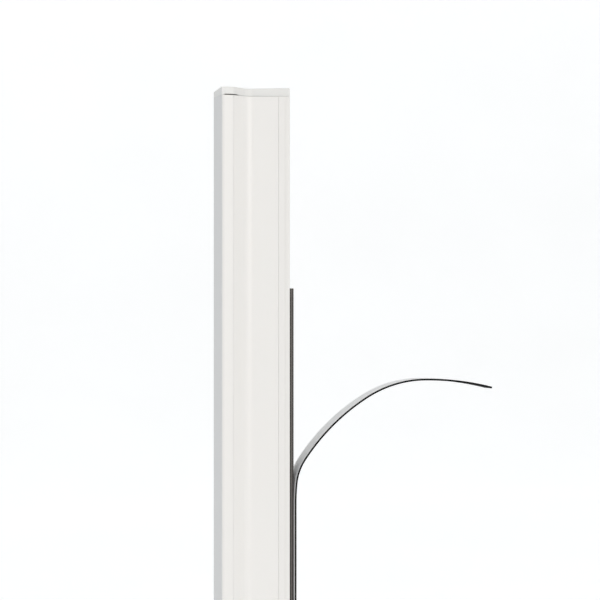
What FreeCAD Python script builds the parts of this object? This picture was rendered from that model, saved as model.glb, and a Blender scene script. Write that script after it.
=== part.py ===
import FreeCAD, Part
import math
import os
import Sketcher
from FreeCAD import Placement, Rotation, Vector

# Stick-on LED light bar: an aluminium extrusion with a wavy front and an opal diffuser, closed by a
# moulded cap at each end. Foam tape on one narrow edge holds it to a wall, and the tape's release
# liner is peeled halfway and curls away.
#
# Frame, in millimetres: the origin is the centre of the tape's wall-side adhesive. +X points out of
# that adhesive, towards the wall. The light leaves along -Y, and +Z runs along the bar to its top cap.
# On the section, "across" is measured from the free edge towards the wall and "down" from the plane
# of the front towards the back.

SIZES = {
    # the bar's section
    "bar_length": 300.6,
    "bar_depth": 22.5,
    "bar_thick": 11.4,
    "corner_radius": 0.5,
    "front_corner_radius": 2.0,
    "front_corner_across": 1.15,
    "back_wall": 1.2,
    "free_rail": 3.8,
    "wall_rail": 3.55,
    "shoulder_radius": 0.4,
    "slope_angle": 34.0,
    "slope_end_across": 7.6,
    "valley_radius": 3.87,
    "ramp_angle": 14.5,
    "hairline_across": 20.9,
    "hairline_wide": 0.3,
    "hairline_deep": 0.12,
    "ledge_down": 5.6,
    "ledge_wide": 1.2,
    "groove_down": 3.95,
    "groove_tall": 0.8,
    "groove_deep": 0.4,
    "free_seam": 0.03,
    "wall_seam": 0.03,
    "seam_round": 0.08,
    "diffuser_skin": 1.3,
    "leg_wide": 1.2,
    "bead_margin": 0.1,
    # end caps and their screws
    "cap_thick": 2.7,
    "cap_fall": 0.9,
    "cap_gap": 0.05,
    "cap_land_margin": 0.6,
    "cap_land_down": 3.7,
    "cap_edge_round": 0.12,
    "pry_notch_across": 0.9,
    "pry_notch_wide": 5.4,
    "pry_notch_slope": 1.6,
    "pry_notch_tall": 0.36,
    "pry_notch_deep": 3.0,
    "spigot_long": 3.5,
    "spigot_clearance": 0.15,
    "screw_across": 2.5,
    "screw_down": 8.2,
    "screw_radius": 0.95,
    "screw_bore_radius": 1.0,
    "screw_hole_radius": 1.1,
    "screw_head_radius": 1.9,
    "screw_head_tall": 1.0,
    "screw_sunk": 0.82,
    "screw_length": 9.0,
    "recess_wide": 0.5,
    "recess_long": 1.9,
    "recess_deep": 0.6,
    # boards and what is on them
    "thermal_tape_thick": 0.25,
    "board_thick": 1.0,
    "board_wide": 11.6,
    "led_board_top": 143.0,
    "led_board_long": 255.0,
    "led_wide": 2.8,
    "led_long": 3.5,
    "led_tall": 0.7,
    "led_pitch": 10.5,
    "led_window_radius": 1.15,
    "led_window_deep": 0.3,
    "resistor_wide": 0.8,
    "resistor_long": 1.6,
    "resistor_tall": 0.45,
    "resistor_offset": 3.6,
    "control_board_start": 4.2,
    "control_board_long": 33.0,
    "link_wide": 1.6,
    "link_long": 3.6,
    "link_thick": 0.3,
    "link_spacing": 6.0,
    "chip_wide": 3.9,
    "chip_long": 4.9,
    "chip_tall": 1.5,
    "chip_rise": 20.5,
    "transistor_wide": 3.0,
    "transistor_long": 3.0,
    "transistor_tall": 1.1,
    "capacitor_radius": 1.5,
    "capacitor_tall": 2.6,
    "capacitor_spacing": 4.2,
    # power socket, for a 3.5 x 1.35 mm barrel plug
    "socket_across": 9.2,
    "socket_down": 7.4,
    "socket_radius": 2.45,
    "socket_hole_radius": 2.55,
    "socket_block_wide": 5.4,
    "socket_block_tall": 4.7,
    "socket_long": 12.0,
    "socket_bore_radius": 1.8,
    "socket_bore_deep": 9.0,
    "socket_pin_radius": 0.65,
    "socket_pin_inset": 0.8,
    "socket_pin_root": 2.0,
    "socket_pin_root_radius": 0.95,
    "contact_wide": 1.4,
    "contact_thick": 0.25,
    "contact_long": 5.0,
    "contact_rise": 3.5,
    # push button and its tactile switch
    "button_across": 14.5,
    "button_down": 7.0,
    "button_radius": 1.6,
    "button_hole_radius": 1.75,
    "button_proud": 0.7,
    "button_flange_radius": 2.1,
    "button_flange_thick": 0.8,
    "plunger_radius": 0.8,
    "plunger_hole_radius": 0.9,
    "plunger_long": 1.85,
    "switch_wide": 4.2,
    "switch_tall": 4.0,
    "switch_long": 3.8,
    "switch_gap": 0.8,
    "dome_radius": 1.45,
    "dome_tall": 0.55,
    "dome_thick": 0.1,
    "dome_chamber_radius": 1.6,
    # foam tape and its release liner
    "tape_thick": 1.5,
    "tape_wide": 4.6,
    "tape_setback": 1.27,
    "tape_long": 172.3,
    "adhesive_thick": 0.2,
    "liner_thick": 0.65,
    "liner_wide": 7.0,
    "peel_height": 17.4,
    "peel_gap": 0.3,
    "curl_radius_1": 60.5,
    "curl_turn_1": 6.0,
    "curl_radius_2": 16.6,
    "curl_turn_2": 28.3,
    "curl_radius_3": 68.6,
    "curl_turn_3": 24.6,
    "curl_radius_4": 38.3,
    "curl_turn_4": 31.0,
    "curl_radius_5": 95.0,
    "curl_turn_5": 14.1,
}
LED_COUNT = 24


class Span:
    """A length known both as a number and as the spreadsheet expression that gives it."""

    def __init__(self, value, text):
        self.value = float(value)
        self.text = text

    def __add__(self, other):
        return Span(self.value + other.value, f"({self.text} + {other.text})")

    def __sub__(self, other):
        return Span(self.value - other.value, f"({self.text} - {other.text})")

    def __neg__(self):
        return Span(-self.value, f"(0 - {self.text})")

    def times(self, factor):
        return Span(self.value * factor, f"({self.text} * {factor})")

    def squared(self):
        return Span(self.value ** 2, f"({self.text} * {self.text})")

    def over(self, other):
        return Span(self.value / other.value, f"({self.text} / {other.text})")

    def by(self, other):
        return Span(self.value * other.value, f"({self.text} * {other.text})")

    def root(self):
        return Span(math.sqrt(self.value), f"sqrt({self.text})")

    def sin(self):
        return Span(math.sin(math.radians(self.value)), f"sin({self.text} * 1 deg)")

    def cos(self):
        return Span(math.cos(math.radians(self.value)), f"cos({self.text} * 1 deg)")

    def tan(self):
        return Span(math.tan(math.radians(self.value)), f"tan({self.text} * 1 deg)")


class Sizes:
    """Every spreadsheet cell as a Span, by its alias."""

    def __init__(self, table):
        for name, value in table.items():
            setattr(self, name, Span(value, f"Sizes.{name}"))


doc = FreeCAD.newDocument("light_bar")
sheet = doc.addObject("Spreadsheet::Sheet", "Sizes")
for row, (name, value) in enumerate(SIZES.items(), start=1):
    sheet.set(f"A{row}", name)
    sheet.set(f"B{row}", str(value))
    sheet.setAlias(f"B{row}", name)
doc.recompute()

s = Sizes(SIZES)
ZERO = Span(0, "0")
PARTS = []

# ---------------------------------------------------------------- places on the section

FREE_EDGE_X = -(s.tape_thick + s.bar_depth)
FRONT_Y = -(s.tape_wide.times(0.5) + s.tape_setback)
TOP_Z = s.bar_length.times(0.5)
BOTTOM_Z = -TOP_Z
BODY_LONG = s.bar_length - s.cap_thick.times(2)
BODY_BOTTOM_Z = BOTTOM_Z + s.cap_thick


def across(distance):
    """X at a distance from the free edge towards the wall."""
    return FREE_EDGE_X + distance


def down(distance):
    """Y at a distance from the front plane towards the back."""
    return FRONT_Y + distance


# The front is one wave. Behind the free rail's flat it turns over a small shoulder, runs down a
# straight slope to a round valley, and rises along a straight ramp to the wall edge.
SHOULDER_END_ACROSS = s.free_rail + s.shoulder_radius.by(s.slope_angle.sin())
SHOULDER_END_DOWN = s.shoulder_radius - s.shoulder_radius.by(s.slope_angle.cos())
SLOPE_END_DOWN = SHOULDER_END_DOWN + (s.slope_end_across - SHOULDER_END_ACROSS).by(s.slope_angle.tan())
VALLEY_ACROSS = s.slope_end_across + s.valley_radius.by(s.slope_angle.sin())
VALLEY_DOWN = SLOPE_END_DOWN + s.valley_radius - s.valley_radius.by(s.slope_angle.cos())
RAMP_START_ACROSS = VALLEY_ACROSS + s.valley_radius.by(s.ramp_angle.sin())
RAMP_START_DOWN = VALLEY_DOWN - s.valley_radius + s.valley_radius.by(s.ramp_angle.cos())


def ramp_down(distance, skin=ZERO):
    """How far the ramp, or a plane that lies a skin behind it, is behind the front plane."""
    fall = (distance - RAMP_START_ACROSS).by(s.ramp_angle.tan())
    return RAMP_START_DOWN - fall + skin.over(s.ramp_angle.cos())


# ---------------------------------------------------------------- builders

def bind_base(thing, place):
    for axis, span in zip("xyz", place):
        thing.setExpression(f"Placement.Base.{axis}", span.text)


def box(label, low, size):
    """A box from its lowest corner and its size, all spans."""
    thing = doc.addObject("Part::Box", label)
    thing.Label = label
    for prop, span in zip(("Length", "Width", "Height"), size):
        thing.setExpression(prop, span.text)
    bind_base(thing, low)
    return thing


def rod(label, base, radius, height):
    """A cylinder that stands along +Z on its base point."""
    thing = doc.addObject("Part::Cylinder", label)
    thing.Label = label
    thing.setExpression("Radius", radius.text)
    thing.setExpression("Height", height.text)
    bind_base(thing, base)
    return thing


def cone(label, base, radius_low, radius_high, height):
    thing = doc.addObject("Part::Cone", label)
    thing.Label = label
    thing.setExpression("Radius1", radius_low.text)
    thing.setExpression("Radius2", radius_high.text)
    thing.setExpression("Height", height.text)
    bind_base(thing, base)
    return thing


def fuse(label, things):
    thing = doc.addObject("Part::MultiFuse", label)
    thing.Label = label
    thing.Shapes = things
    return thing


def cut(label, base, tools):
    tool = tools[0] if len(tools) == 1 else fuse(f"{label}_tools", tools)
    thing = doc.addObject("Part::Cut", label)
    thing.Label = label
    thing.Base = base
    thing.Tool = tool
    return thing


def group(label, things):
    thing = doc.addObject("Part::Compound", label)
    thing.Label = label
    thing.Links = things
    return thing


def repeated(label, seed, moves):
    """Separate copies of one solid, at each of the given moves."""
    doc.recompute()
    thing = doc.addObject("Part::Feature", label)
    thing.Label = label
    thing.Shape = Part.makeCompound([seed.Shape.translated(move) for move in moves])
    return thing


def keep(thing):
    PARTS.append(thing)
    return thing


def line_to(x, y):
    return {"end": (x, y)}


def arc_to(x, y, radius, turn):
    """An arc to a point: turn is 1 where the outline bends left and -1 where it bends right."""
    return {"end": (x, y), "radius": radius, "turn": turn}


def free_corner_steps():
    """The free edge's front corner: sharp against the side and easing into the front."""
    reach = (s.front_corner_radius.squared() - s.front_corner_across.squared()).root()
    return [
        line_to(across(ZERO), down(s.front_corner_radius - reach)),
        arc_to(across(s.front_corner_across), down(ZERO), s.front_corner_radius, 1),
    ]


def wave_steps():
    """Shoulder, slope and valley, from the free rail's flat to the start of the ramp."""
    return [
        arc_to(across(SHOULDER_END_ACROSS), down(SHOULDER_END_DOWN), s.shoulder_radius, 1),
        line_to(across(s.slope_end_across), down(SLOPE_END_DOWN)),
        arc_to(across(RAMP_START_ACROSS), down(RAMP_START_DOWN), s.valley_radius, -1),
    ]


def wall_edge_steps():
    """The wall edge's rounded front corner and the two back corners, ending on the free side."""
    turn = s.corner_radius.by((Span(45, "45") - s.ramp_angle.times(0.5)).tan())
    edge_down = ramp_down(s.bar_depth)
    return [
        line_to(across(s.bar_depth - turn.by(s.ramp_angle.cos())),
                down(edge_down + turn.by(s.ramp_angle.sin()))),
        arc_to(across(s.bar_depth), down(edge_down + turn), s.corner_radius, 1),
        line_to(across(s.bar_depth), down(s.bar_thick - s.corner_radius)),
        arc_to(across(s.bar_depth - s.corner_radius), down(s.bar_thick), s.corner_radius, 1),
        line_to(across(s.corner_radius), down(s.bar_thick)),
        arc_to(across(ZERO), down(s.bar_thick - s.corner_radius), s.corner_radius, 1),
    ]


def arc_geometry(start, end, radius, turn):
    """The counter-clockwise arc for one arc step, and which of its ends is the step's start."""
    chord = end - start
    side = Vector(-chord.y, chord.x, 0).normalize() * turn
    reach = math.sqrt(max(radius ** 2 - (chord.Length / 2) ** 2, 0.0))
    centre = (start + end) * 0.5 + side * reach
    first, last = (start, end) if turn > 0 else (end, start)
    angles = [math.atan2(p.y - centre.y, p.x - centre.x) for p in (first, last)]
    if angles[1] < angles[0]:
        angles[1] += 2 * math.pi
    circle = Part.Circle(centre, Vector(0, 0, 1), radius)
    return Part.ArcOfCircle(circle, angles[0], angles[1]), (1 if turn > 0 else 2)


def hold_point(sketch, index, pos, x, y):
    """Bind a sketch point's two coordinates to the sheet."""
    for kind, span in (("DistanceX", x), ("DistanceY", y)):
        number = sketch.addConstraint(Sketcher.Constraint(kind, -1, 1, index, pos, span.value))
        sketch.setExpression(f"Constraints[{number}]", span.text)


def hold_radius(sketch, index, radius):
    number = sketch.addConstraint(Sketcher.Constraint("Radius", index, radius.value))
    sketch.setExpression(f"Constraints[{number}]", radius.text)


def draw_outline(sketch, steps):
    """A closed outline of lines and arcs, every corner and radius bound to the sheet."""
    first = sketch.GeometryCount
    points = [Vector(step["end"][0].value, step["end"][1].value, 0) for step in steps]
    starts = []
    for number, step in enumerate(steps):
        start, end = points[number - 1], points[number]
        if "radius" in step:
            shape, start_pos = arc_geometry(start, end, step["radius"].value, step["turn"])
        else:
            shape, start_pos = Part.LineSegment(start, end), 1
        sketch.addGeometry(shape, False)
        starts.append(start_pos)
    for number, step in enumerate(steps):
        index = first + number
        following = (number + 1) % len(steps)
        end_pos = 3 - starts[number]
        sketch.addConstraint(
            Sketcher.Constraint("Coincident", index, end_pos, first + following, starts[following])
        )
        hold_point(sketch, index, end_pos, *step["end"])
        if "radius" in step:
            hold_radius(sketch, index, step["radius"])


def draw_circle(sketch, x, y, radius):
    index = sketch.addGeometry(Part.Circle(Vector(x.value, y.value, 0), Vector(0, 0, 1), radius.value), False)
    hold_point(sketch, index, 3, x, y)
    hold_radius(sketch, index, radius)


def section_body(label, base_z, length, steps, circles=()):
    """A body padded along Z from an outline in the XY plane, with round holes through it."""
    body = doc.addObject("PartDesign::Body", label)
    body.Label = label
    plane = [f for f in body.Origin.OriginFeatures if f.Role == "XY_Plane"][0]
    sketch = body.newObject("Sketcher::SketchObject", f"{label}_section")
    sketch.AttachmentSupport = (plane, [""])
    sketch.MapMode = "FlatFace"
    draw_outline(sketch, steps)
    for circle in circles:
        draw_circle(sketch, *circle)
    pad = body.newObject("PartDesign::Pad", f"{label}_pad")
    pad.Profile = sketch
    pad.setExpression("Length", length.text)
    body.Tip = pad
    body.setExpression("Placement.Base.z", base_z.text)
    return body


# ---------------------------------------------------------------- housing and diffuser

FREE_RAIL_IN = s.free_rail
WALL_RAIL_IN = s.bar_depth - s.wall_rail
CAVITY_LOW = FREE_RAIL_IN + s.ledge_wide
CAVITY_HIGH = WALL_RAIL_IN - s.ledge_wide
CAVITY_BACK = s.bar_thick - s.back_wall
GROOVE_END = s.groove_down + s.groove_tall


def hairline_steps():
    """A fine decorative groove along the wall rail's face."""
    start = s.hairline_across
    end = start + s.hairline_wide
    middle = (start + end).times(0.5)
    return [
        line_to(across(start), down(ramp_down(start))),
        line_to(across(middle), down(ramp_down(middle, s.hairline_deep))),
        line_to(across(end), down(ramp_down(end))),
    ]


def make_housing():
    """Aluminium channel: a back wall, a rail along each edge, snap grooves and two screw bores."""
    rim = s.seam_round
    steps = free_corner_steps() + [
        line_to(across(FREE_RAIL_IN), down(ZERO)),
        line_to(across(FREE_RAIL_IN), down(s.groove_down)),
        line_to(across(FREE_RAIL_IN - s.groove_deep), down(s.groove_down)),
        line_to(across(FREE_RAIL_IN - s.groove_deep), down(GROOVE_END)),
        line_to(across(FREE_RAIL_IN), down(GROOVE_END)),
        line_to(across(FREE_RAIL_IN), down(s.ledge_down)),
        line_to(across(CAVITY_LOW), down(s.ledge_down)),
        line_to(across(CAVITY_LOW), down(CAVITY_BACK)),
        line_to(across(CAVITY_HIGH), down(CAVITY_BACK)),
        line_to(across(CAVITY_HIGH), down(s.ledge_down)),
        line_to(across(WALL_RAIL_IN), down(s.ledge_down)),
        line_to(across(WALL_RAIL_IN), down(GROOVE_END)),
        line_to(across(WALL_RAIL_IN + s.groove_deep), down(GROOVE_END)),
        line_to(across(WALL_RAIL_IN + s.groove_deep), down(s.groove_down)),
        line_to(across(WALL_RAIL_IN), down(s.groove_down)),
        line_to(across(WALL_RAIL_IN), down(ramp_down(WALL_RAIL_IN) + rim)),
        arc_to(across(WALL_RAIL_IN + rim), down(ramp_down(WALL_RAIL_IN + rim)), rim, 1),
    ] + hairline_steps() + wall_edge_steps()
    bores = [
        (across(s.screw_across), down(s.screw_down), s.screw_bore_radius),
        (across(s.bar_depth - s.screw_across), down(s.screw_down), s.screw_bore_radius),
    ]
    return section_body("housing_extrusion", BODY_BOTTOM_Z, BODY_LONG, steps, bores)


def make_diffuser():
    """Opal cover: the wave, on two legs whose beads snap into the rails' grooves."""
    low = FREE_RAIL_IN + s.free_seam
    high = WALL_RAIL_IN - s.wall_seam
    skin = s.diffuser_skin
    rim = s.seam_round
    bead_start = s.groove_down + s.bead_margin
    bead_end = GROOVE_END - s.bead_margin
    bead_low = FREE_RAIL_IN - s.groove_deep + s.bead_margin
    bead_high = WALL_RAIL_IN + s.groove_deep - s.bead_margin
    ramp_in = high - s.leg_wide
    start_down = s.shoulder_radius - (s.shoulder_radius.squared() - s.free_seam.squared()).root()
    steps = [line_to(across(low), down(start_down))] + wave_steps() + [
        line_to(across(high - rim), down(ramp_down(high - rim))),
        arc_to(across(high), down(ramp_down(high) + rim), rim, 1),
        line_to(across(high), down(bead_start)),
        line_to(across(bead_high), down(bead_start)),
        line_to(across(bead_high), down(bead_end)),
        line_to(across(high), down(bead_end)),
        line_to(across(high), down(s.ledge_down)),
        line_to(across(ramp_in), down(s.ledge_down)),
        line_to(across(ramp_in), down(ramp_down(ramp_in, skin))),
        line_to(across(RAMP_START_ACROSS + skin.by(s.ramp_angle.sin())),
                down(RAMP_START_DOWN + skin.by(s.ramp_angle.cos()))),
        arc_to(across(VALLEY_ACROSS), down(VALLEY_DOWN + skin), s.valley_radius + skin, 1),
        line_to(across(low + s.leg_wide), down(VALLEY_DOWN + skin)),
        line_to(across(low + s.leg_wide), down(s.ledge_down)),
        line_to(across(low), down(s.ledge_down)),
        line_to(across(low), down(bead_end)),
        line_to(across(bead_low), down(bead_end)),
        line_to(across(bead_low), down(bead_start)),
        line_to(across(low), down(bead_start)),
    ]
    return section_body("diffuser", BODY_BOTTOM_Z, BODY_LONG, steps)


# ---------------------------------------------------------------- end caps and screws

def cap_steps():
    """The bar's own outline without its seams, and with a square corner at the free edge's front."""
    front = [
        line_to(across(ZERO), down(ZERO)),
        line_to(across(s.free_rail), down(ZERO)),
    ]
    return front + wave_steps() + wall_edge_steps()


def screw_places():
    return (s.screw_across, s.bar_depth - s.screw_across)


def screw_hole_tools(label, outer_z, inward):
    """Through holes, countersunk below a short counterbore. inward is 1 where +Z leads inwards."""
    tools = []
    for number, place in enumerate(screw_places(), start=1):
        x = across(place)
        y = down(s.screw_down)
        hole_z = outer_z if inward > 0 else outer_z - s.cap_thick
        tools.append(rod(f"{label}_hole_{number}", (x, y, hole_z), s.screw_hole_radius, s.cap_thick))
        bore_z = outer_z if inward > 0 else outer_z - s.screw_sunk
        tools.append(rod(f"{label}_counterbore_{number}", (x, y, bore_z), s.screw_head_radius, s.screw_sunk))
        sink_z = outer_z + s.screw_sunk if inward > 0 else bore_z - s.screw_head_tall
        wide, narrow = s.screw_head_radius, s.screw_hole_radius
        low, high = (wide, narrow) if inward > 0 else (narrow, wide)
        tools.append(cone(f"{label}_sink_{number}", (x, y, sink_z), low, high, s.screw_head_tall))
    return tools


def pitched(label, plate, low_z, inward):
    """The plate with its outer face falling towards the back. inward is 1 for the lower cap."""
    envelope = doc.addObject("Part::Wedge", f"{label}_envelope")
    low_back, high_back = (s.cap_fall, s.cap_thick) if inward > 0 else (ZERO, s.cap_thick - s.cap_fall)
    sides = {
        "Xmin": ZERO, "X2min": low_back, "Xmax": s.cap_thick, "X2max": high_back,
        "Ymin": ZERO, "Ymax": s.bar_thick,
        "Zmin": ZERO, "Z2min": ZERO, "Zmax": s.bar_depth, "Z2max": s.bar_depth,
    }
    for side, span in sides.items():
        envelope.setExpression(side, span.text)
    envelope.Placement = Placement(Vector(), Rotation(Vector(0, 1, 0), -90))
    bind_base(envelope, (across(s.bar_depth), down(ZERO), low_z))
    pitched_plate = doc.addObject("Part::Common", f"{label}_pitched")
    pitched_plate.Base = plate
    pitched_plate.Tool = envelope
    return pitched_plate


def rounded_rim(label, plate, outer_z):
    """The plate with the rim of its falling outer face rounded."""
    doc.recompute()
    blank = doc.addObject("Part::Fillet", label)
    blank.Base = plate
    radius = s.cap_edge_round.value
    front = down(ZERO).value
    pitch = s.cap_fall.over(s.bar_thick).value
    rims = []
    for number, edge in enumerate(plate.Shape.Edges, start=1):
        levels = [abs(v.Z) + (v.Y - front) * pitch for v in edge.Vertexes]
        if all(abs(level - abs(outer_z.value)) < 1e-3 for level in levels):
            rims.append((number, radius, radius))
    blank.Edges = rims
    return blank


def seating_land(label, low_z):
    """The land inside the cap's rim that bears on the bar's end and leaves a fine gap outside it."""
    margin = s.cap_land_margin
    return box(label, (across(margin), down(s.cap_land_down), low_z),
               (s.bar_depth - margin.times(2), s.bar_thick - s.cap_land_down - margin, s.cap_gap))


def pry_notch(label, seam_z, inward):
    """A shallow slot under the cap's front corner, for a screwdriver's tip, that tapers out."""
    deep = s.pry_notch_deep
    low, high = (ZERO, deep) if inward > 0 else (-deep, ZERO)
    notch = doc.addObject("Part::Wedge", label)
    sides = {
        "Xmin": ZERO, "X2min": ZERO, "Xmax": s.pry_notch_wide, "X2max": s.pry_notch_wide - s.pry_notch_slope,
        "Ymin": ZERO, "Ymax": s.pry_notch_tall,
        "Zmin": low, "Z2min": low, "Zmax": high, "Z2max": high,
    }
    for side, span in sides.items():
        notch.setExpression(side, span.text)
    notch.Placement = Placement(Vector(), Rotation(Vector(1, 0, 0), -90 * inward))
    bind_base(notch, (across(s.pry_notch_across), down(ZERO), seam_z))
    return notch


def make_top_cap():
    seam_z = TOP_Z - s.cap_thick
    rim_z = seam_z + s.cap_gap
    plate = section_body("top_cap_plate", rim_z, s.cap_thick - s.cap_gap, cap_steps())
    blank = rounded_rim("top_cap_blank", pitched("top_cap", plate, seam_z, -1), TOP_Z)
    gap = s.spigot_clearance
    low = CAVITY_LOW + gap
    high = CAVITY_HIGH - gap
    front = s.ledge_down + gap
    spigot = box("top_cap_spigot", (across(low), down(front), seam_z - s.spigot_long),
                 (high - low, CAVITY_BACK - gap - front, s.spigot_long))
    solid = fuse("top_cap_solid", [blank, seating_land("top_cap_land", seam_z), spigot])
    tools = screw_hole_tools("top_cap", TOP_Z, -1) + [pry_notch("top_cap_notch", seam_z, -1)]
    return cut("top_end_cap", solid, tools)


def make_bottom_cap():
    """The top cap's mirror image, with ways for the power socket and the button and no spigot."""
    seam_z = BOTTOM_Z + s.cap_thick
    rim_z = seam_z - s.cap_gap
    plate = section_body("bottom_cap_plate", BOTTOM_Z, s.cap_thick - s.cap_gap, cap_steps())
    blank = rounded_rim("bottom_cap_blank", pitched("bottom_cap", plate, BOTTOM_Z, 1), BOTTOM_Z)
    solid = fuse("bottom_cap_solid", [blank, seating_land("bottom_cap_land", rim_z)])
    tools = screw_hole_tools("bottom_cap", BOTTOM_Z, 1)
    tools.append(pry_notch("bottom_cap_notch", seam_z, 1))
    tools.append(rod("socket_way", (across(s.socket_across), down(s.socket_down), BOTTOM_Z),
                     s.socket_hole_radius, s.cap_thick))
    tools.append(rod("button_way", (across(s.button_across), down(s.button_down), BOTTOM_Z),
                     s.button_hole_radius, s.cap_thick))
    return cut("bottom_end_cap", solid, tools)


def make_screws(label, outer_z, inward):
    """Two countersunk self-tapping screws with a cross recess. outer_z is the plane of their heads."""
    screws = []
    for number, place in enumerate(screw_places(), start=1):
        x = across(place)
        y = down(s.screw_down)
        if inward > 0:
            head = cone(f"{label}_head_{number}", (x, y, outer_z), s.screw_head_radius,
                        s.screw_radius, s.screw_head_tall)
            shank_z = outer_z
            recess_z = outer_z
        else:
            head = cone(f"{label}_head_{number}", (x, y, outer_z - s.screw_head_tall),
                        s.screw_radius, s.screw_head_radius, s.screw_head_tall)
            shank_z = outer_z - s.screw_length
            recess_z = outer_z - s.recess_deep
        shank = rod(f"{label}_shank_{number}", (x, y, shank_z), s.screw_radius, s.screw_length)
        half_long = s.recess_long.times(0.5)
        half_wide = s.recess_wide.times(0.5)
        slots = [
            box(f"{label}_slot_a{number}", (x - half_long, y - half_wide, recess_z),
                (s.recess_long, s.recess_wide, s.recess_deep)),
            box(f"{label}_slot_b{number}", (x - half_wide, y - half_long, recess_z),
                (s.recess_wide, s.recess_long, s.recess_deep)),
        ]
        solid = fuse(f"{label}_solid_{number}", [head, shank])
        screws.append(cut(f"{label}_screw_{number}", solid, slots))
    return group(label, screws)


# ---------------------------------------------------------------- boards and components

BOARD_CENTRE = (CAVITY_LOW + CAVITY_HIGH).times(0.5)
BOARD_ACROSS = BOARD_CENTRE - s.board_wide.times(0.5)
BOARD_BACK = CAVITY_BACK - s.thermal_tape_thick
BOARD_FRONT = BOARD_BACK - s.board_thick
LED_BOARD_Z = s.led_board_top - s.led_board_long
CONTROL_Z = BOTTOM_Z + s.control_board_start
CONTROL_TOP = CONTROL_Z + s.control_board_long


def on_board(label, middle_across, low_z, wide, long, tall):
    """A box-shaped component that stands on the front of a board."""
    low = (across(middle_across - wide.times(0.5)), down(BOARD_FRONT - tall), low_z)
    return box(label, low, (wide, tall, long))


def make_led_board_parts():
    keep(box("thermal_tape", (across(BOARD_ACROSS), down(BOARD_BACK), LED_BOARD_Z),
             (s.board_wide, s.thermal_tape_thick, s.led_board_long)))
    keep(box("led_board", (across(BOARD_ACROSS), down(BOARD_FRONT), LED_BOARD_Z),
             (s.board_wide, s.board_thick, s.led_board_long)))
    first_z = LED_BOARD_Z + s.led_pitch.times(0.5)
    package = on_board("led_package", BOARD_CENTRE, first_z, s.led_wide, s.led_long, s.led_tall)
    window = doc.addObject("Part::Cylinder", "led_window")
    window.setExpression("Radius", s.led_window_radius.text)
    window.setExpression("Height", s.led_window_deep.text)
    window.Placement = Placement(Vector(), Rotation(Vector(1, 0, 0), -90))
    bind_base(window, (across(BOARD_CENTRE), down(BOARD_FRONT - s.led_tall),
                       first_z + s.led_long.times(0.5)))
    led = cut("led_seed", package, [window])
    pitch = s.led_pitch.value
    moves = [Vector(0, 0, number * pitch) for number in range(LED_COUNT)]
    keep(repeated("leds", led, moves))
    keep(repeated("led_phosphors", window, moves))
    resistor_z = first_z + s.led_pitch.times(0.5)
    resistor = on_board("resistor_seed", BOARD_CENTRE + s.resistor_offset, resistor_z,
                        s.resistor_wide, s.resistor_long, s.resistor_tall)
    keep(repeated("led_resistors", resistor, moves[0:LED_COUNT:3]))


def make_control_board_parts():
    board = box("control_board_blank", (across(BOARD_ACROSS), down(BOARD_FRONT), CONTROL_Z),
                (s.board_wide, s.board_thick, s.control_board_long))
    gap = s.spigot_clearance
    notch_top = BOTTOM_Z + s.socket_long + gap
    notch_across = s.socket_across - s.socket_block_wide.times(0.5) - gap
    notch = box("control_board_notch", (across(notch_across), down(BOARD_FRONT), CONTROL_Z),
                (s.socket_block_wide + gap.times(2), s.board_thick, notch_top - CONTROL_Z))
    keep(cut("control_board", board, [notch]))
    keep(box("control_board_tape", (across(BOARD_ACROSS), down(BOARD_BACK), notch_top),
             (s.board_wide, s.thermal_tape_thick, CONTROL_TOP - notch_top)))
    links = []
    for number, side in enumerate((-1, 1), start=1):
        middle = BOARD_CENTRE + s.link_spacing.times(0.5 * side)
        links.append(on_board(f"link_{number}", middle, CONTROL_TOP - s.link_long.times(0.3),
                              s.link_wide, s.link_long, s.link_thick))
    keep(group("board_links", links))
    chip_z = BOTTOM_Z + s.chip_rise
    keep(on_board("controller_chip", s.socket_across, chip_z, s.chip_wide, s.chip_long, s.chip_tall))
    keep(on_board("power_transistor", s.button_across, chip_z, s.transistor_wide, s.transistor_long,
                  s.transistor_tall))
    cans = []
    can_z = chip_z + s.chip_long + s.capacitor_radius.times(2)
    for number in range(2):
        can = doc.addObject("Part::Cylinder", f"capacitor_{number + 1}")
        can.setExpression("Radius", s.capacitor_radius.text)
        can.setExpression("Height", s.capacitor_tall.text)
        can.Placement = Placement(Vector(), Rotation(Vector(1, 0, 0), -90))
        middle = s.socket_across + s.capacitor_spacing.times(number)
        bind_base(can, (across(middle), down(BOARD_FRONT - s.capacitor_tall), can_z))
        cans.append(can)
    keep(group("filter_capacitors", cans))


# ---------------------------------------------------------------- power socket

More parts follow.
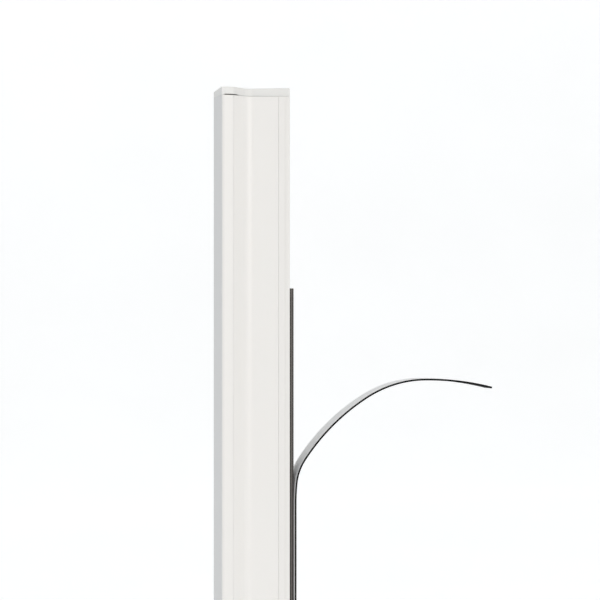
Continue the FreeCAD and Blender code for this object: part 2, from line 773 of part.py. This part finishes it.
def make_socket():
    x = across(s.socket_across)
    y = down(s.socket_down)
    nose = rod("socket_nose", (x, y, BOTTOM_Z), s.socket_radius, s.socket_long)
    block_z = BODY_BOTTOM_Z + s.switch_gap
    block = box("socket_block",
                (x - s.socket_block_wide.times(0.5), y - s.socket_block_tall.times(0.5), block_z),
                (s.socket_block_wide, s.socket_block_tall, BOTTOM_Z + s.socket_long - block_z))
    solid = fuse("socket_solid", [nose, block])
    bore = rod("socket_bore", (x, y, BOTTOM_Z), s.socket_bore_radius, s.socket_bore_deep)
    pin_z = BOTTOM_Z + s.socket_pin_inset
    pin_long = s.socket_bore_deep - s.socket_pin_inset
    root_z = BOTTOM_Z + s.socket_bore_deep
    root_way = rod("socket_root_way", (x, y, root_z), s.socket_pin_root_radius, s.socket_pin_root)
    contact_x = x - s.socket_block_wide.times(0.5)
    contact_z = BOTTOM_Z + s.contact_rise
    slot_deep = s.socket_block_wide.times(0.5) - s.socket_bore_radius.times(0.9)
    slot = box("contact_slot", (contact_x, y - s.contact_wide.times(0.5), contact_z),
               (slot_deep, s.contact_wide, s.contact_long))
    keep(cut("dc_socket_body", solid, [bore, root_way, slot]))
    pin = rod("socket_pin_shaft", (x, y, pin_z), s.socket_pin_radius, pin_long)
    root = rod("socket_pin_root", (x, y, root_z), s.socket_pin_root_radius, s.socket_pin_root)
    keep(fuse("dc_socket_pin", [pin, root]))
    keep(box("dc_socket_contact", (contact_x, y - s.contact_wide.times(0.5), contact_z),
             (s.contact_thick, s.contact_wide, s.contact_long)))


# ---------------------------------------------------------------- push button and switch

def make_button():
    x = across(s.button_across)
    y = down(s.button_down)
    flange_z = BODY_BOTTOM_Z
    face = rod("button_face", (x, y, BOTTOM_Z - s.button_proud), s.button_radius,
               s.cap_thick + s.button_proud)
    flange = rod("button_flange", (x, y, flange_z), s.button_flange_radius, s.button_flange_thick)
    keep(fuse("push_button", [face, flange]))
    plunger_z = flange_z + s.button_flange_thick
    keep(rod("switch_plunger", (x, y, plunger_z), s.plunger_radius, s.plunger_long))
    dome_z = plunger_z + s.plunger_long
    switch_z = plunger_z + s.switch_gap
    case = box("switch_case", (x - s.switch_wide.times(0.5), down(BOARD_FRONT - s.switch_tall), switch_z),
               (s.switch_wide, s.switch_tall, s.switch_long))
    way = rod("plunger_way", (x, y, switch_z), s.plunger_hole_radius, dome_z - switch_z)
    chamber = rod("dome_chamber", (x, y, dome_z), s.dome_chamber_radius, s.dome_tall)
    keep(cut("switch_body", case, [way, chamber]))
    keep(make_dome(dome_z))


def make_dome(low_z):
    """Domed metal spring: a thin spherical cap whose crown meets the plunger."""
    dome = doc.addObject("PartDesign::Body", "switch_dome")
    dome.Label = "switch_dome"
    plane = [f for f in dome.Origin.OriginFeatures if f.Role == "XZ_Plane"][0]
    sketch = dome.newObject("Sketcher::SketchObject", "switch_dome_section")
    sketch.AttachmentSupport = (plane, [""])
    sketch.MapMode = "FlatFace"
    tall = s.dome_tall
    outer = (s.dome_radius.squared() + tall.squared()).over(tall.times(2))
    inner = outer - s.dome_thick
    rim = (inner.squared() - (outer - tall).squared()).root()
    steps = [
        line_to(rim, tall),
        arc_to(ZERO, s.dome_thick, inner, -1),
        line_to(ZERO, ZERO),
        arc_to(s.dome_radius, tall, outer, 1),
    ]
    draw_outline(sketch, steps)
    turn = dome.newObject("PartDesign::Revolution", "switch_dome_turn")
    turn.Profile = sketch
    turn.ReferenceAxis = (sketch, ["V_Axis"])
    turn.Angle = 360
    dome.Tip = turn
    bind_base(dome, (across(s.button_across), down(s.button_down), low_z))
    return dome


# ---------------------------------------------------------------- tape and liner

def strip(label, low_x, thick, long, wide=s.tape_wide):
    """A flat layer on the wall side of the bar, from the tape's lower end upwards."""
    return box(label, (low_x, -wide.times(0.5), -s.tape_long.times(0.5)), (thick, wide, long))


def make_tape():
    film = s.adhesive_thick
    keep(strip("bar_side_adhesive", -s.tape_thick, film, s.tape_long))
    keep(strip("foam_tape_core", film - s.tape_thick, s.tape_thick - film.times(2), s.tape_long))
    keep(strip("wall_side_adhesive", -film, film, s.tape_long))
    laid_long = s.peel_height + s.tape_long.times(0.5)
    keep(strip("release_liner_laid", ZERO, s.liner_thick, laid_long, s.liner_wide))


def curl_arcs():
    """Radius and turn of each stretch of the curl, from the peel line to the free end."""
    cells = [(f"curl_radius_{n}", f"curl_turn_{n}") for n in range(1, 6)]
    return [(sheet.get(radius), math.radians(sheet.get(turn))) for radius, turn in cells]


def curl_line(start, heading, arcs, offset):
    """Tangent arcs in the XZ plane that turn away from the tape, at an offset towards the wall."""
    edges = []
    points = []
    for radius, turn in arcs:
        centre = start + Vector(math.sin(heading), 0, -math.cos(heading)) * radius
        reach = radius - offset
        stops = [heading, heading - turn / 2, heading - turn]
        spots = [centre + Vector(-math.sin(a), 0, math.cos(a)) * reach for a in stops]
        edges.append(Part.Arc(*spots).toShape())
        points += [spots[0], spots[-1]]
        start = centre + Vector(-math.sin(stops[-1]), 0, math.cos(stops[-1])) * radius
        heading = stops[-1]
    return edges, points[0], points[-1]


def make_liner_curl():
    """The peeled stretch of the liner: one band of even thickness along five tangent arcs."""
    doc.recompute()
    start = Vector(sheet.get("peel_gap") / 2, 0, sheet.get("peel_height") + sheet.get("peel_gap"))
    arcs = curl_arcs()
    inner, inner_start, inner_end = curl_line(start, math.pi / 2, arcs, 0.0)
    outer, outer_start, outer_end = curl_line(start, math.pi / 2, arcs, sheet.get("liner_thick"))
    ends = [Part.makeLine(inner_start, outer_start), Part.makeLine(inner_end, outer_end)]
    face = Part.Face(Part.Wire(Part.__sortEdges__(inner + outer + ends)))
    width = sheet.get("liner_wide")
    face.translate(Vector(0, -width / 2, 0))
    thing = doc.addObject("Part::Feature", "release_liner_peeled")
    thing.Label = "release_liner_peeled"
    thing.Shape = face.extrude(Vector(0, width, 0))
    return thing


# ---------------------------------------------------------------- assembly and export

keep(make_housing())
keep(make_diffuser())
keep(make_top_cap())
keep(make_screws("top_cap_screws", TOP_Z - s.screw_sunk, -1))
keep(make_bottom_cap())
keep(make_screws("bottom_cap_screws", BOTTOM_Z + s.screw_sunk, 1))
make_led_board_parts()
make_control_board_parts()
make_socket()
make_button()
make_tape()
keep(make_liner_curl())

doc.recompute()
failed = [thing.Label for thing in doc.Objects if {"Invalid", "Error"} & set(thing.State)]
bad = [part.Label for part in PARTS if part.Shape.isNull() or not part.Shape.isValid()]
if failed or bad:
    raise RuntimeError(f"failed objects: {failed}; bad shapes: {bad}")
os.makedirs("parts", exist_ok=True)
for part in PARTS:
    part.Shape.exportStep(f"parts/{part.Label}.step")
    extent = part.Shape.BoundBox
    print(f"{part.Label:24s} solids {len(part.Shape.Solids):2d} volume {part.Shape.Volume:9.2f} "
          f"x {extent.XMin:7.2f} {extent.XMax:7.2f} y {extent.YMin:6.2f} {extent.YMax:6.2f} "
          f"z {extent.ZMin:8.2f} {extent.ZMax:8.2f}")
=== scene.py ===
import math

import bmesh
import bpy
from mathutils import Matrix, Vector


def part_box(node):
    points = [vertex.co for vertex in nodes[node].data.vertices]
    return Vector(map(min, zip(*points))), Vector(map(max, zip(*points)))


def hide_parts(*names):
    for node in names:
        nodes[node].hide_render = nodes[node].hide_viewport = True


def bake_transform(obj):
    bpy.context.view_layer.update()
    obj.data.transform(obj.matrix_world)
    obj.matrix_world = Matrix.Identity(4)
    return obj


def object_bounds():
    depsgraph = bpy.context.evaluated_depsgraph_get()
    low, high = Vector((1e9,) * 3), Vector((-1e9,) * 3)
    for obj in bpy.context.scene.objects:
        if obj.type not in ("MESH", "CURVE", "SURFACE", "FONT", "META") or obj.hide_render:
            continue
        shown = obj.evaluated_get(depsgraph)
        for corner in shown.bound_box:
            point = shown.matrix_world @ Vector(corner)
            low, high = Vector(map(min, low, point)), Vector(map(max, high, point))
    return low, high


# Stick-on LED light bar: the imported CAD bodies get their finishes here, and the release liner is
# modelled as the one continuous film that it is, half stuck down and half curling away.

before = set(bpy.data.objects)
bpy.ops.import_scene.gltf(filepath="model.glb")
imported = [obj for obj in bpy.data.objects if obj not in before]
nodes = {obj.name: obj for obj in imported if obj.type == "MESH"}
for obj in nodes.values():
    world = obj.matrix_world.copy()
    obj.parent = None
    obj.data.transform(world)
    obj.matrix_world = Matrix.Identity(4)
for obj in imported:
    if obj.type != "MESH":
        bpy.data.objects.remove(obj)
cad_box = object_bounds()
MM = 0.001


# ---------------------------------------------------------------- material helpers

SOFT_EDGE_SAMPLES = 6
NOISE_ROUGHNESS = 0.55
MIX_FIRST, MIX_SECOND, MIX_RESULT = 6, 7, 2  # colour sockets of a Mix node
LOW_STOP, HIGH_STOP = 0.3, 0.7  # noise seldom leaves this span, so the two colours sit at its ends


class Shader:
    """A node material round one Principled shader, with short calls for what feeds it."""

    def __init__(self, name, roughness=0.5, metallic=0.0):
        self.material = bpy.data.materials.new(name)
        self.material.use_nodes = True
        self.tree = self.material.node_tree
        self.shader = self.tree.nodes["Principled BSDF"]
        self.shader.inputs["Roughness"].default_value = roughness
        self.shader.inputs["Metallic"].default_value = metallic
        self.place = self.tree.nodes.new("ShaderNodeTexCoord").outputs["Object"]
        self.normal = None

    def set(self, socket, value):
        self.shader.inputs[socket].default_value = value

    def node(self, kind, **values):
        node = self.tree.nodes.new(kind)
        for name, value in values.items():
            setattr(node, name, value)
        return node

    def link(self, source, target):
        self.tree.links.new(source, target)

    def stretched(self, scale):
        """Object coordinates scaled along each axis."""
        mapping = self.node("ShaderNodeMapping")
        mapping.inputs["Scale"].default_value = scale
        self.link(self.place, mapping.inputs["Vector"])
        return mapping.outputs["Vector"]

    def noise(self, scale, stretch=(1, 1, 1), detail=3.0):
        """Noise with about scale features a metre, drawn out along an axis where stretch is low."""
        noise = self.node("ShaderNodeTexNoise")
        noise.inputs["Scale"].default_value = scale
        noise.inputs["Detail"].default_value = detail
        noise.inputs["Roughness"].default_value = NOISE_ROUGHNESS
        self.link(self.stretched(stretch), noise.inputs["Vector"])
        return noise.outputs["Fac"]

    def cells(self, scale):
        """Distance to the middle of the nearest of many small cells."""
        cells = self.node("ShaderNodeTexVoronoi", feature="F1")
        cells.inputs["Scale"].default_value = scale
        self.link(self.place, cells.inputs["Vector"])
        return cells.outputs["Distance"]

    def multiplied(self, first, second):
        """The product of two colours."""
        mix = self.node("ShaderNodeMix", data_type="RGBA", blend_type="MULTIPLY")
        mix.inputs["Factor"].default_value = 1.0
        self.link(first, mix.inputs[MIX_FIRST])
        self.link(second, mix.inputs[MIX_SECOND])
        return mix.outputs[MIX_RESULT]

    def along(self, axis, low, high):
        """0 to 1 between two places on an axis, in metres."""
        split = self.node("ShaderNodeSeparateXYZ")
        self.link(self.place, split.inputs["Vector"])
        span = self.node("ShaderNodeMapRange")
        span.inputs["From Min"].default_value = low
        span.inputs["From Max"].default_value = high
        self.link(split.outputs[axis], span.inputs["Value"])
        return span.outputs["Result"]

    def ramp(self, factor, stops):
        """A colour ramp through stops of (position, colour)."""
        ramp = self.node("ShaderNodeValToRGB")
        elements = ramp.color_ramp.elements
        while len(elements) < len(stops):
            elements.new(0.5)
        for element, (position, colour) in zip(elements, stops):
            element.position = position
            element.color = (*colour, 1)
        self.link(factor, ramp.inputs["Fac"])
        return ramp.outputs["Color"]

    def wander(self, factor, low, high):
        """A colour that wanders between two close colours."""
        return self.ramp(factor, [(LOW_STOP, low), (HIGH_STOP, high)])

    def base(self, colour):
        self.link(colour, self.shader.inputs["Base Color"])

    def colour(self, factor, low, high):
        """Base colour that wanders between two close colours."""
        self.base(self.wander(factor, low, high))

    def gloss(self, factor, low, high):
        """Roughness that wanders between two values."""
        span = self.node("ShaderNodeMapRange")
        span.inputs["To Min"].default_value = low
        span.inputs["To Max"].default_value = high
        self.link(factor, span.inputs["Value"])
        self.link(span.outputs["Result"], self.shader.inputs["Roughness"])

    def bump(self, factor, height):
        """Adds relief of a real height, in millimetres."""
        bump = self.node("ShaderNodeBump")
        bump.inputs["Strength"].default_value = 1.0
        bump.inputs["Distance"].default_value = height * MM
        self.link(factor, bump.inputs["Height"])
        if self.normal:
            self.link(self.normal, bump.inputs["Normal"])
        self.normal = bump.outputs["Normal"]
        self.link(self.normal, self.shader.inputs["Normal"])
        return self

    def soft_edges(self, radius):
        """Rounds the shading of sharp edges by a radius in millimetres."""
        bevel = self.node("ShaderNodeBevel", samples=SOFT_EDGE_SAMPLES)
        bevel.inputs["Radius"].default_value = radius * MM
        self.normal = bevel.outputs["Normal"]
        self.link(self.normal, self.shader.inputs["Normal"])
        return self


def shade(colour, factor):
    """The colour, darker or lighter by a factor."""
    return tuple(channel * factor for channel in colour)


# ---------------------------------------------------------------- materials

WHITE = (0.856, 0.840, 0.821)
NO_TINT = (1, 1, 1)
# Painted shade: the housing's free side is greyed and cooled in its colour, standing in for the
# shade that falls on that side.
SIDE_SHADE_GREY = (0.835, 0.85, 0.868)
SIDE_SHADE_FADE_START, SIDE_SHADE_FADE_END = 0.05 * MM, 0.35 * MM  # how far in from the free side the grey fades out
CAP_WHITE = (0.81, 0.805, 0.79)


def powder_coat():
    """Satin powder coat: white with faint die lines, and painted shade that greys and cools the
    free side.
    """
    mat = Shader("powder_coat").soft_edges(0.12)
    die_lines = mat.noise(2600, stretch=(1, 1, 0.004), detail=2.0)
    orange_peel = mat.noise(1500, detail=2.0)
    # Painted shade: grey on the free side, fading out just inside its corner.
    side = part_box("housing_extrusion")[0][0]
    inward = mat.along("X", side + SIDE_SHADE_FADE_START, side + SIDE_SHADE_FADE_END)
    painted_side_shade = mat.ramp(inward, [(0.0, SIDE_SHADE_GREY), (1.0, NO_TINT)])
    white = mat.wander(mat.noise(60, stretch=(1, 1, 0.1)), shade(WHITE, 0.985), WHITE)
    mat.base(mat.multiplied(painted_side_shade, white))
    mat.gloss(orange_peel, 0.36, 0.48)
    return mat.bump(orange_peel, 0.006).bump(die_lines, 0.003).material


def opal_cover():
    """Opal polycarbonate: smooth and satin, light wanders a little way into it."""
    mat = Shader("opal_cover").soft_edges(0.12)
    mat.set("Subsurface Weight", 0.12)
    mat.set("Subsurface Radius", (1.0, 0.95, 0.9))
    mat.set("Subsurface Scale", 0.8 * MM)
    die_lines = mat.noise(2200, stretch=(1, 1, 0.003), detail=2.0)
    mat.colour(mat.noise(45, stretch=(1, 1, 0.08)), shade(WHITE, 1.012), shade(WHITE, 1.03))
    mat.gloss(mat.noise(700), 0.28, 0.38)
    return mat.bump(die_lines, 0.003).material


def moulded_cap():
    """Injection-moulded cap: finely textured, and light spreads a little under its surface."""
    mat = Shader("moulded_cap").soft_edges(0.12)
    mat.set("Subsurface Weight", 0.25)
    mat.set("Subsurface Radius", (1.0, 0.97, 0.94))
    mat.set("Subsurface Scale", 1.2 * MM)
    grain = mat.noise(4200)
    mat.colour(mat.noise(140), shade(CAP_WHITE, 0.985), CAP_WHITE)
    mat.gloss(grain, 0.44, 0.58)
    return mat.bump(grain, 0.008).material


def foam_core():
    """Closed-cell foam: warm grey with tiny darker pores; painted shadow darkens it beside the bar,
    and it is darker towards the wall side too.
    """
    mat = Shader("foam_core", roughness=0.95)
    pores = mat.cells(5200)
    cells = mat.ramp(pores, [(0.1, (0.62, 0.60, 0.58)), (0.75, NO_TINT)])
    # Painted shadow: the foam is made near black where it meets the bar, in place of the shade
    # there; it also darkens towards the wall side.
    low, high = (corner[0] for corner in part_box("foam_tape_core"))
    bar_shadow_and_dark_edge = mat.ramp(mat.along("X", low, high), [
        (0.15, (0.010, 0.009, 0.009)),
        (0.55, (0.19, 0.176, 0.165)),
        (0.95, (0.05, 0.047, 0.045)),
    ])
    mat.base(mat.multiplied(bar_shadow_and_dark_edge, cells))
    return mat.bump(pores, 0.04).bump(mat.noise(900), 0.03).material


def tape_adhesive():
    """Tacky acrylic film on the foam, nearly black and slightly glossy."""
    mat = Shader("tape_adhesive")
    dapple = mat.noise(800, detail=4.0)
    mat.colour(dapple, (0.018, 0.016, 0.016), (0.036, 0.033, 0.032))
    mat.gloss(dapple, 0.25, 0.5)
    return mat.bump(dapple, 0.02).material


def liner_paper():
    """Release side of the liner: pale grey siliconised paper."""
    mat = Shader("liner_paper")
    fibre = mat.noise(900, detail=5.0)
    mat.colour(fibre, (0.83, 0.83, 0.828), (0.88, 0.88, 0.876))
    mat.gloss(fibre, 0.36, 0.52)
    return mat.bump(fibre, 0.008).material


def liner_film():
    """Outer side of the liner: black polyethylene film."""
    mat = Shader("liner_film")
    mat.set("Specular IOR Level", 0.08)
    dapple = mat.noise(420, detail=4.0)
    mat.colour(dapple, (0.004, 0.004, 0.0045), (0.009, 0.009, 0.0095))
    mat.gloss(dapple, 0.52, 0.7)
    return mat.bump(dapple, 0.02).material


def dark_plastic(name, tone):
    """Black moulded plastic of components and connectors."""
    mat = Shader(name).soft_edges(0.08)
    grain = mat.noise(2600)
    mat.colour(grain, shade(tone, 0.8), tone)
    mat.gloss(grain, 0.42, 0.62)
    return mat.bump(grain, 0.006).material


def bright_metal(name, tone, roughness, stretch):
    """Metal with fine working marks along one direction."""
    mat = Shader(name, metallic=1.0).soft_edges(0.06)
    marks = mat.noise(3000, stretch)
    mat.colour(marks, shade(tone, 0.86), tone)
    mat.gloss(marks, roughness * 0.8, roughness * 1.3)
    return mat.bump(marks, 0.003).material


def solder_mask():
    """White lacquer on the boards, with the weave of the laminate just showing."""
    mat = Shader("solder_mask").soft_edges(0.05)
    weave = mat.noise(2400, stretch=(1, 0.3, 0.3))
    mat.colour(weave, (0.78, 0.80, 0.78), (0.84, 0.86, 0.84))
    mat.gloss(weave, 0.24, 0.36)
    return mat.bump(weave, 0.004).material


def gap_filler():
    """Grey thermal tape between a board and the back wall."""
    mat = Shader("gap_filler", roughness=0.8)
    grit = mat.noise(3200, detail=5.0)
    mat.colour(grit, (0.36, 0.37, 0.40), (0.46, 0.47, 0.50))
    return mat.bump(grit, 0.01).material


def led_resin():
    """Yellow phosphor in clear resin."""
    mat = Shader("led_resin", roughness=0.18)
    powder = mat.noise(6000, detail=5.0)
    mat.colour(powder, (0.80, 0.56, 0.10), (0.90, 0.68, 0.18))
    return mat.bump(powder, 0.005).material


def led_case():
    """White moulded case round each LED."""
    mat = Shader("led_case", roughness=0.35).soft_edges(0.04)
    grain = mat.noise(5000)
    mat.colour(grain, (0.80, 0.80, 0.78), (0.86, 0.86, 0.84))
    return mat.bump(grain, 0.004).material


def button_plastic():
    """The push button: pale grey plastic, polished a little by use."""
    mat = Shader("button_plastic").soft_edges(0.15)
    wear = mat.noise(700)
    mat.colour(wear, (0.72, 0.72, 0.71), (0.76, 0.76, 0.75))
    mat.gloss(wear, 0.26, 0.42)
    return mat.bump(mat.noise(4000), 0.004).material


FINISHES = [
    (powder_coat(), ["housing_extrusion"]),
    (opal_cover(), ["diffuser"]),
    (moulded_cap(), ["top_end_cap", "bottom_end_cap"]),
    (bright_metal("zinc_screws", (0.72, 0.72, 0.74), roughness=0.3, stretch=(1, 1, 0.2)),
     ["top_cap_screws", "bottom_cap_screws"]),
    (solder_mask(), ["led_board", "control_board"]),
    (gap_filler(), ["thermal_tape", "control_board_tape"]),
    (led_case(), ["leds"]),
    (led_resin(), ["led_phosphors"]),
    (dark_plastic("chip_epoxy", (0.035, 0.035, 0.038)),
     ["led_resistors", "controller_chip", "power_transistor"]),
    (dark_plastic("switch_plastic", (0.05, 0.05, 0.052)), ["switch_body", "switch_plunger"]),
    (dark_plastic("socket_plastic", (0.03, 0.03, 0.032)), ["dc_socket_body"]),
    (bright_metal("contact_brass", (0.83, 0.64, 0.30), roughness=0.25, stretch=(1, 1, 0.1)),
     ["dc_socket_pin", "dc_socket_contact"]),
    (bright_metal("tinned_copper", (0.78, 0.76, 0.73), roughness=0.3, stretch=(1, 0.1, 1)),
     ["board_links", "filter_capacitors"]),
    (bright_metal("spring_steel", (0.70, 0.70, 0.72), roughness=0.2, stretch=(1, 1, 1)),
     ["switch_dome"]),
    (button_plastic(), ["push_button"]),
    (foam_core(), ["foam_tape_core"]),
    (tape_adhesive(), ["bar_side_adhesive", "wall_side_adhesive"]),
]


def finish_nodes():
    for material, names in FINISHES:
        for name in names:
            slots = nodes[name].data.materials
            slots.clear()
            slots.append(material)


# ---------------------------------------------------------------- release liner

PAPER, FILM = 0, 1  # the two layers, as material slots
LAID_LOW, LAID_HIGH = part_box("release_liner_laid")
LINER_THICK = LAID_HIGH[0] - LAID_LOW[0]
PAPER_THICK = 0.05 * MM
PEEL_Z = LAID_HIGH[2]
# Arcs from the peel line to the liner's end, each a radius in millimetres and a turn in degrees.
CURL = ((60.5, 6.0), (16.6, 28.3), (68.6, 24.6), (38.3, 31.0), (95.0, 14.1))
CURL_STEP = 0.75 * MM
LAID_STEP = 4 * CURL_STEP
SHARP_EDGE = math.radians(40)
UP = math.pi / 2


def liner_route():
    """Points and headings of the liner's tape-side face in the XZ plane, from its lower end."""
    low_z = LAID_LOW[2]
    count = round((PEEL_Z - low_z) / LAID_STEP)
    route = [((0.0, low_z + (PEEL_Z - low_z) * n / count), UP) for n in range(count + 1)]
    x, z, heading = 0.0, PEEL_Z, UP
    for radius, turn in ((r * MM, math.radians(t)) for r, t in CURL):
        centre_x = x + radius * math.sin(heading)
        centre_z = z - radius * math.cos(heading)
        steps = round(radius * turn / CURL_STEP)
        for n in range(1, steps + 1):
            angle = heading - turn * n / steps
            x = centre_x - radius * math.sin(angle)
            z = centre_z + radius * math.cos(angle)
            route.append(((x, z), angle))
        heading = angle
    return route


def make_liner(paper, film):
    """One band of two layers: pale paper towards the tape and black film outside."""
    mesh = bmesh.new()
    rows = []
    for (x, z), heading in liner_route():
        out = Vector((math.sin(heading), 0, -math.cos(heading)))
        base = Vector((x, 0, z))
        row = []
        for side in (LAID_LOW[1], LAID_HIGH[1]):
            for depth in (0.0, PAPER_THICK, LINER_THICK):
                row.append(mesh.verts.new(base + out * depth + Vector((0, side, 0))))
        rows.append(row)
    # A row's corners are numbered from the tape side outwards, at the front edge, then at the back.
    loop = (0, 1, 2, 5, 4, 3)
    layers = (PAPER, FILM, FILM, FILM, PAPER, PAPER)
    for low, high in zip(rows, rows[1:]):
        for n, start in enumerate(loop):
            end = loop[(n + 1) % len(loop)]
            face = mesh.faces.new((low[start], low[end], high[end], high[start]))
            face.material_index = layers[n]
    for row in (rows[0], rows[-1]):
        for layer, corners in ((PAPER, (0, 1, 4, 3)), (FILM, (1, 2, 5, 4))):
            mesh.faces.new([row[n] for n in corners]).material_index = layer
    bmesh.ops.recalc_face_normals(mesh, faces=mesh.faces)
    for face in mesh.faces:
        face.smooth = True
    for edge in mesh.edges:
        edge.smooth = edge.calc_face_angle(0.0) < SHARP_EDGE
    data = bpy.data.meshes.new("release_liner")
    mesh.to_mesh(data)
    mesh.free()
    liner = bpy.data.objects.new("release_liner", data)
    bpy.context.scene.collection.objects.link(liner)
    data.materials.append(paper)
    data.materials.append(film)
    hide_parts("release_liner_laid", "release_liner_peeled")
    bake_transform(liner)


# ---------------------------------------------------------------- stage, light and camera

STAGE_GLOW = 0.345
STAGE_NEAR, STAGE_FAR, STAGE_HALF, STAGE_TALL = -2.5, 2.0, 4.0, 3.5  # metres
SWEEP_RADIUS, SWEEP_STEPS = 1.0, 16
WORLD_COLOUR = (0.97, 1.0, 1.02, 1)
# Strength of the world's light from left (0) to right (1). It is lower at both ends, which greys
# the surfaces that face sideways.
WORLD_LEFT, WORLD_MIDDLE, WORLD_RIGHT = (0.0, 0.37), ((0.32, 0.60), (0.68, 0.60)), (1.0, 0.22)
# In metres, from the housing's upper front corner on the tape side.
CAMERA_FROM_CORNER = (-0.2035, -0.7406, -0.0676)
CAMERA_YAW, CAMERA_PITCH = math.radians(15.6), math.radians(0.18)
SENSOR_WIDTH, LENS = 36, 144  # millimetres
CAMERA_REACH = 50  # metres


def stage_material():
    """Matt white paper, faintly mottled, with a glow that keeps it white."""
    mat = Shader("studio_paper", roughness=0.9)
    mottle = mat.noise(6, detail=2.0)
    mat.colour(mottle, (0.93, 0.93, 0.93), (0.95, 0.95, 0.95))
    mat.set("Emission Color", (1, 1, 1, 1))
    mat.set("Emission Strength", STAGE_GLOW)
    mat.set("Specular IOR Level", 0.0)
    return mat.material


def make_stage():
    """A floor under the bar that sweeps up into a backdrop."""
    floor_z = cad_box[0][2]
    profile = [(STAGE_NEAR, floor_z), (STAGE_FAR, floor_z)]
    for n in range(1, SWEEP_STEPS + 1):
        angle = math.pi / 2 * n / SWEEP_STEPS
        y = STAGE_FAR + SWEEP_RADIUS * math.sin(angle)
        profile.append((y, floor_z + SWEEP_RADIUS * (1 - math.cos(angle))))
    profile.append((STAGE_FAR + SWEEP_RADIUS, floor_z + STAGE_TALL))
    mesh = bmesh.new()
    edges = [[mesh.verts.new((x, y, z)) for y, z in profile] for x in (-STAGE_HALF, STAGE_HALF)]
    for n in range(len(profile) - 1):
        face = mesh.faces.new((edges[0][n], edges[1][n], edges[1][n + 1], edges[0][n + 1]))
        face.smooth = True
    data = bpy.data.meshes.new("studio_sweep")
    mesh.to_mesh(data)
    mesh.free()
    data.materials.append(stage_material())
    sweep_object = bpy.data.objects.new("studio_sweep", data)
    bpy.context.scene.collection.objects.link(sweep_object)


def add_light(name, place, size, power, colour):
    """A square area light aimed at the origin; metres and watts."""
    data = bpy.data.lights.new(name, "AREA")
    data.size = size
    data.energy = power
    data.color = colour
    light = bpy.data.objects.new(name, data)
    light.location = place
    light.rotation_euler = (-Vector(place)).to_track_quat("-Z", "Y").to_euler()
    bpy.context.scene.collection.objects.link(light)


def make_lights():
    world = bpy.data.worlds.new("studio")
    world.use_nodes = True
    nodes_of_world = world.node_tree.nodes
    background = nodes_of_world["Background"]
    background.inputs["Color"].default_value = WORLD_COLOUR
    heading = nodes_of_world.new("ShaderNodeTexCoord")
    split = nodes_of_world.new("ShaderNodeSeparateXYZ")
    level = nodes_of_world.new("ShaderNodeFloatCurve")
    points = level.mapping.curves[0].points
    points[0].location = WORLD_LEFT
    points[1].location = WORLD_RIGHT
    for place in WORLD_MIDDLE:
        points.new(*place)
    for point in points:
        point.handle_type = "VECTOR"
    level.mapping.update()
    span = nodes_of_world.new("ShaderNodeMapRange")
    span.inputs["From Min"].default_value = -1.0
    link = world.node_tree.links.new
    link(heading.outputs["Generated"], split.inputs["Vector"])
    link(split.outputs["X"], span.inputs["Value"])
    link(span.outputs["Result"], level.inputs["Value"])
    link(level.outputs["Value"], background.inputs["Strength"])
    bpy.context.scene.world = world
    add_light("key", (0.38, -2.2, 0.55), size=1.0, power=12.6, colour=(1.0, 0.95, 0.88))
    add_light("overhead", (0.5, 0.1, 1.5), size=0.8, power=3, colour=(1.0, 0.98, 0.95))
    bpy.context.scene.view_settings.view_transform = "Standard"


def make_camera():
    """A long lens, a little to the left of square on."""
    low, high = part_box("housing_extrusion")
    corner = Vector((high[0], low[1], high[2]))
    data = bpy.data.cameras.new("camera")
    data.sensor_width = SENSOR_WIDTH
    data.lens = LENS
    data.clip_end = CAMERA_REACH
    camera = bpy.data.objects.new("camera", data)
    camera.location = corner + Vector(CAMERA_FROM_CORNER)
    forward = Vector((math.sin(CAMERA_YAW), math.cos(CAMERA_YAW), math.tan(CAMERA_PITCH)))
    camera.rotation_euler = forward.to_track_quat("-Z", "Y").to_euler()
    bpy.context.scene.collection.objects.link(camera)
    bpy.context.scene.camera = camera


finish_nodes()
make_liner(liner_paper(), liner_film())
make_stage()
make_lights()
make_camera()
